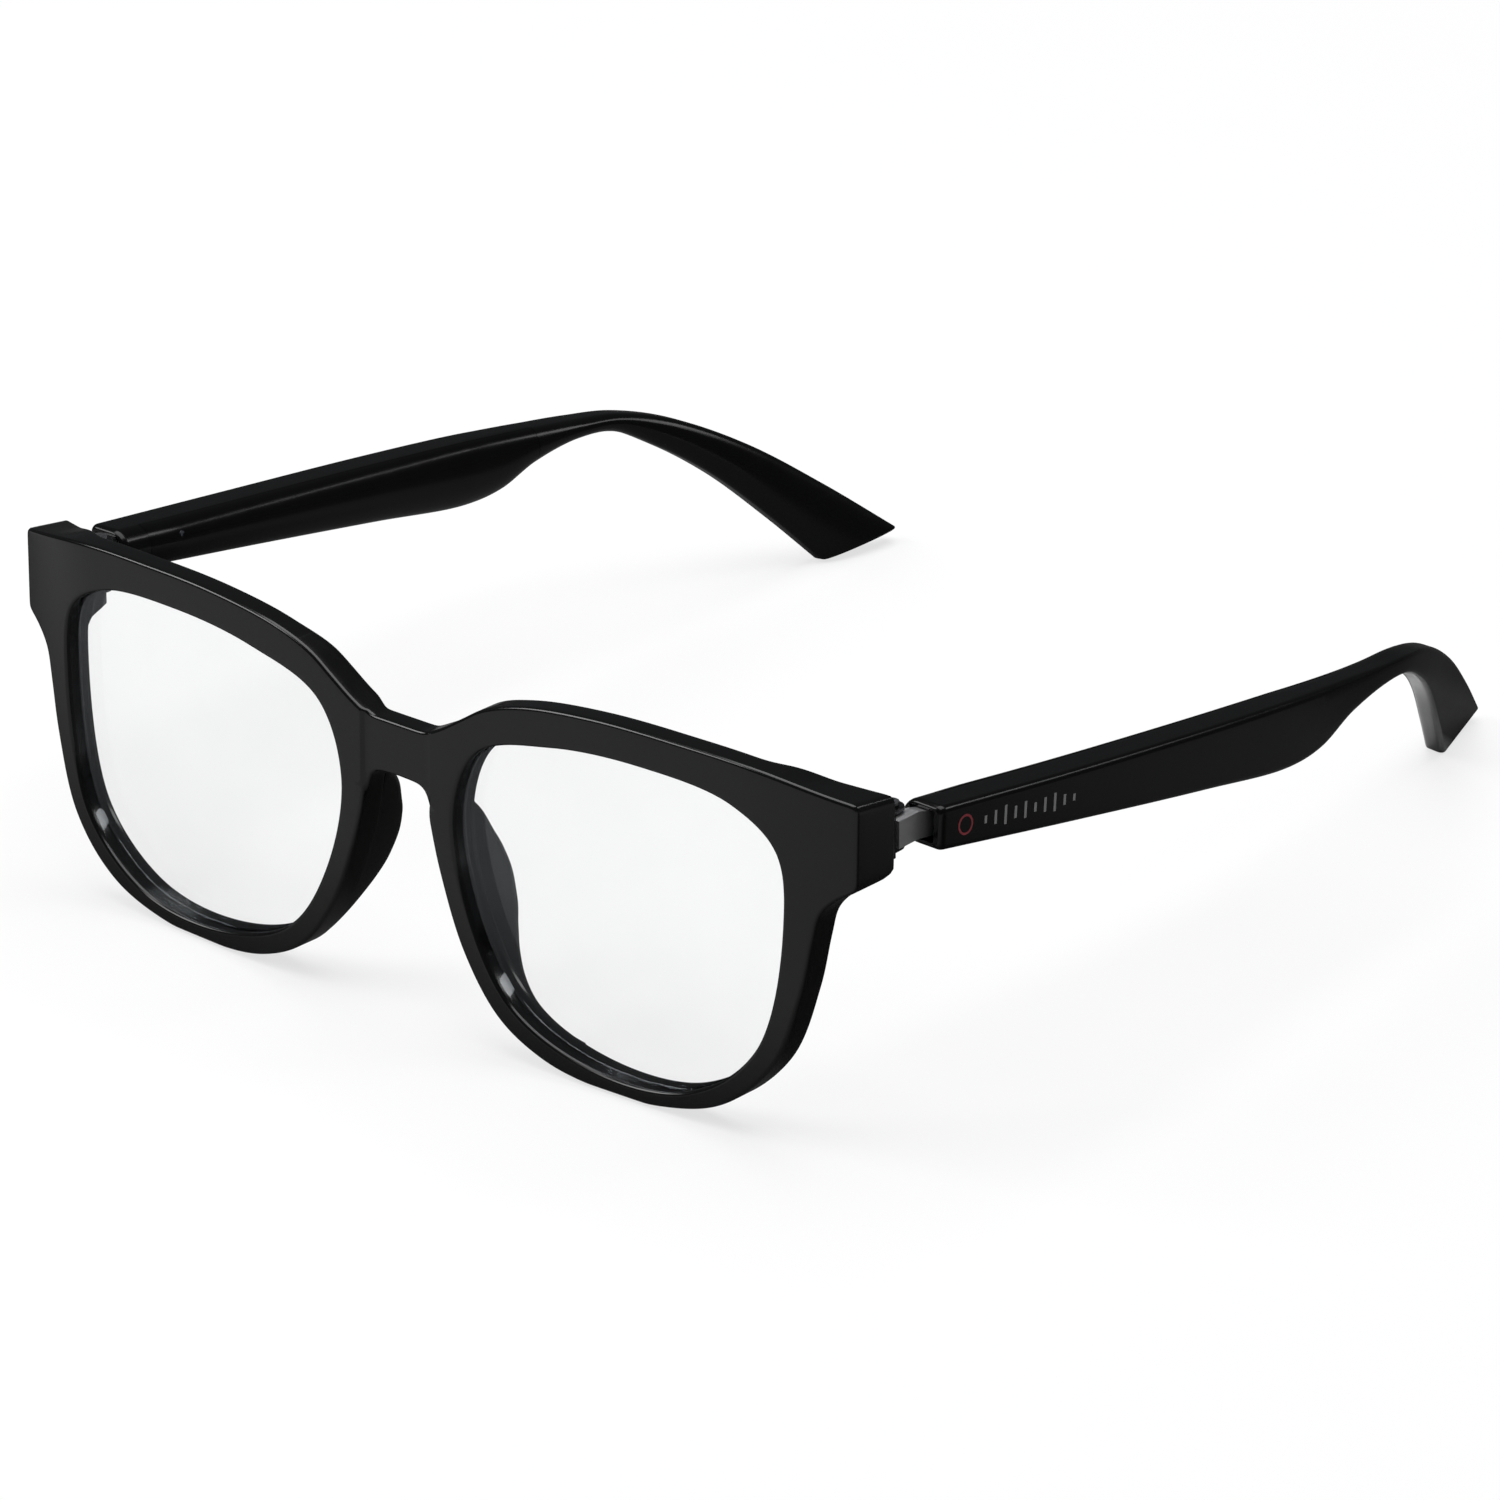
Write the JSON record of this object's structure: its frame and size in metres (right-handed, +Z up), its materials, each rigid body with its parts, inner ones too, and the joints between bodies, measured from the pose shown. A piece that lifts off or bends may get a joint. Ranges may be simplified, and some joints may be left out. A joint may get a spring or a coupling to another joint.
{
  "type": "smart glasses",
  "caption": "Glasses with a plain glossy front, clear lenses and two folding temples that each hold a battery, speaker and circuit board.",
  "frame": {"origin": "under the middle of the bounding box, on the plane that the two rims and the two ear tips stand on", "axes": "+X to the wearer's left, +Y from the front back along the temples, +Z up"},
  "size_m": [0.1464, 0.1618, 0.0495],
  "materials": {
    "frame_black": "polished black acetate",
    "pad_black": "polished black acetate",
    "lens_clear": "clear, coated",
    "dark_metal": "black satin",
    "steel": "bright",
    "link_metal": "satin silver",
    "shell_black": "glossy black",
    "cover_black": "glossy black",
    "cell_wrap": "foil pouch",
    "copper_film": "copper film",
    "board_green": "solder mask",
    "speaker_metal": "plated can",
    "contact_gold": "gold plated",
    "light_window": "smoked window",
    "button_black": "satin"
  },
  "bodies": {
    "front": {"front_frame": "frame_black", "lens_left": "lens_clear", "lens_right": "lens_clear", "nose_pad_left": "pad_black", "nose_pad_right": "pad_black", "hinge_bracket_left": "dark_metal", "hinge_bracket_right": "dark_metal", "bracket_screw_lower_left": "steel", "bracket_screw_upper_left": "steel", "bracket_screw_lower_right": "steel", "bracket_screw_upper_right": "steel", "hinge_pin_left": "steel", "hinge_pin_right": "steel"},
    "link_left": {"hinge_link_left": "link_metal"},
    "link_right": {"hinge_link_right": "link_metal"},
    "temple_left": {"temple_shell_left": "shell_black", "temple_cover_left": "cover_black", "battery_left": "cell_wrap", "touch_sensor_left": "copper_film", "circuit_board_left": "board_green", "speaker_left": "speaker_metal", "speaker_grille_left": "dark_metal", "microphone_left": "contact_gold", "status_light_left": "light_window", "charging_contact_1_left": "contact_gold", "charging_contact_2_left": "contact_gold", "button_switch_left": "speaker_metal", "flex_spring_left": "steel", "core_wire_left": "steel"},
    "temple_right": {"temple_shell_right": "shell_black", "temple_cover_right": "cover_black", "battery_right": "cell_wrap", "touch_sensor_right": "copper_film", "circuit_board_right": "board_green", "speaker_right": "speaker_metal", "speaker_grille_right": "dark_metal", "microphone_right": "contact_gold", "status_light_right": "light_window", "charging_contact_1_right": "contact_gold", "charging_contact_2_right": "contact_gold", "button_switch_right": "speaker_metal", "flex_spring_right": "steel", "core_wire_right": "steel"},
    "button_left": {"button_left": "button_black"},
    "button_right": {"button_right": "button_black"}
  },
  "joints": [
    {"name": "fold_left", "type": "hinge", "parent": "front", "child": "link_left", "pos_m": [0.0664, -0.06466, 0.04026], "axis": [0, 0, 1], "range_deg": [0, 88]},
    {"name": "fold_right", "type": "hinge", "parent": "front", "child": "link_right", "pos_m": [-0.0664, -0.06466, 0.04026], "axis": [0, 0, -1], "range_deg": [0, 74]},
    {"name": "flex_left", "type": "hinge", "parent": "link_left", "child": "temple_left", "pos_m": [0.0683, -0.06026, 0.03966], "axis": [0, 0, -1], "range_deg": [0, 5], "stiffness_Nm_per_rad": 1.2, "springref_deg": -2.29},
    {"name": "flex_right", "type": "hinge", "parent": "link_right", "child": "temple_right", "pos_m": [-0.0683, -0.06026, 0.03966], "axis": [0, 0, 1], "range_deg": [0, 5], "stiffness_Nm_per_rad": 1.2, "springref_deg": -2.29},
    {"name": "press_left", "type": "slide", "parent": "temple_left", "child": "button_left", "axis": [0, 0.0722, 0.9974], "range_m": [0, 0.0004], "stiffness_N_per_m": 2500, "springref_m": -0.0002},
    {"name": "press_right", "type": "slide", "parent": "temple_right", "child": "button_right", "axis": [0, 0.0722, 0.9974], "range_m": [0, 0.0004], "stiffness_N_per_m": 2500, "springref_m": -0.0002}
  ]
}
